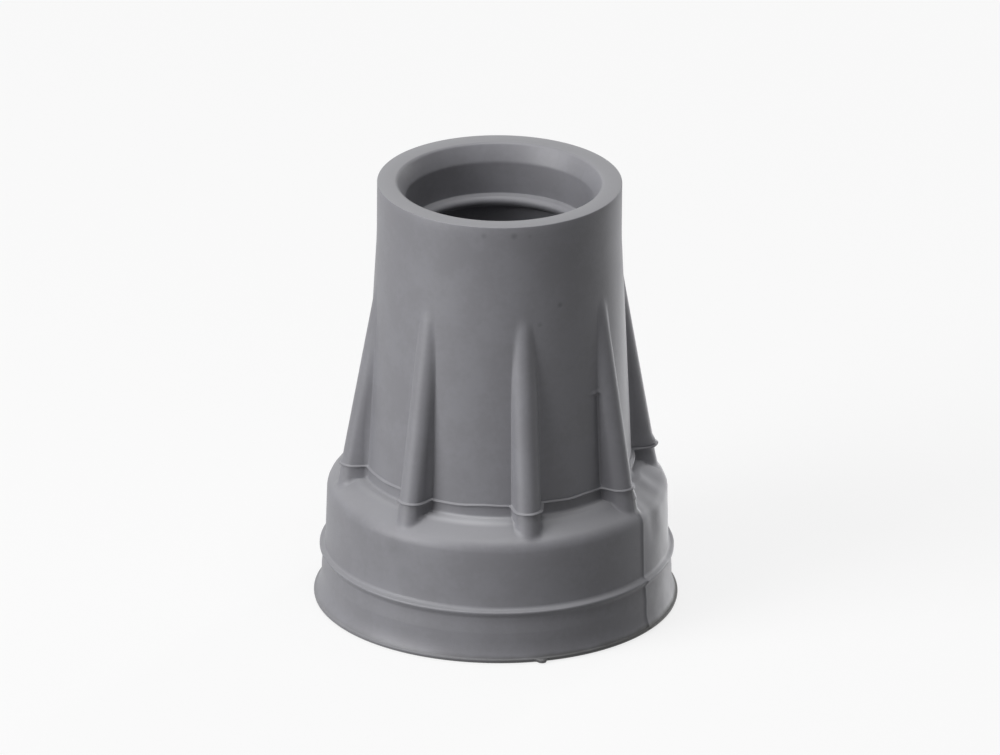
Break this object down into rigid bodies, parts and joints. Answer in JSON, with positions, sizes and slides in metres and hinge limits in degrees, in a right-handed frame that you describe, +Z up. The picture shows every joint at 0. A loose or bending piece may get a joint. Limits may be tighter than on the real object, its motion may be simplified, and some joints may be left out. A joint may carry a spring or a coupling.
{
  "type": "cane tip",
  "caption": "Rubber ferrule for a walking cane's foot: a ribbed tapering neck with a blind socket over a wide round foot with a ring-grooved tread.",
  "frame": {"origin": "centre of the tread's plane, where the foot stands on the floor", "axes": "+Z up along the socket's axis, out of its mouth; -Y is the front, and +X is to the right as seen from there"},
  "size_m": [0.042, 0.042, 0.051],
  "materials": {
    "rubber": "matte moulded grey rubber"
  },
  "bodies": {
    "root": {"cane_tip": "rubber"}
  },
  "joints": []
}
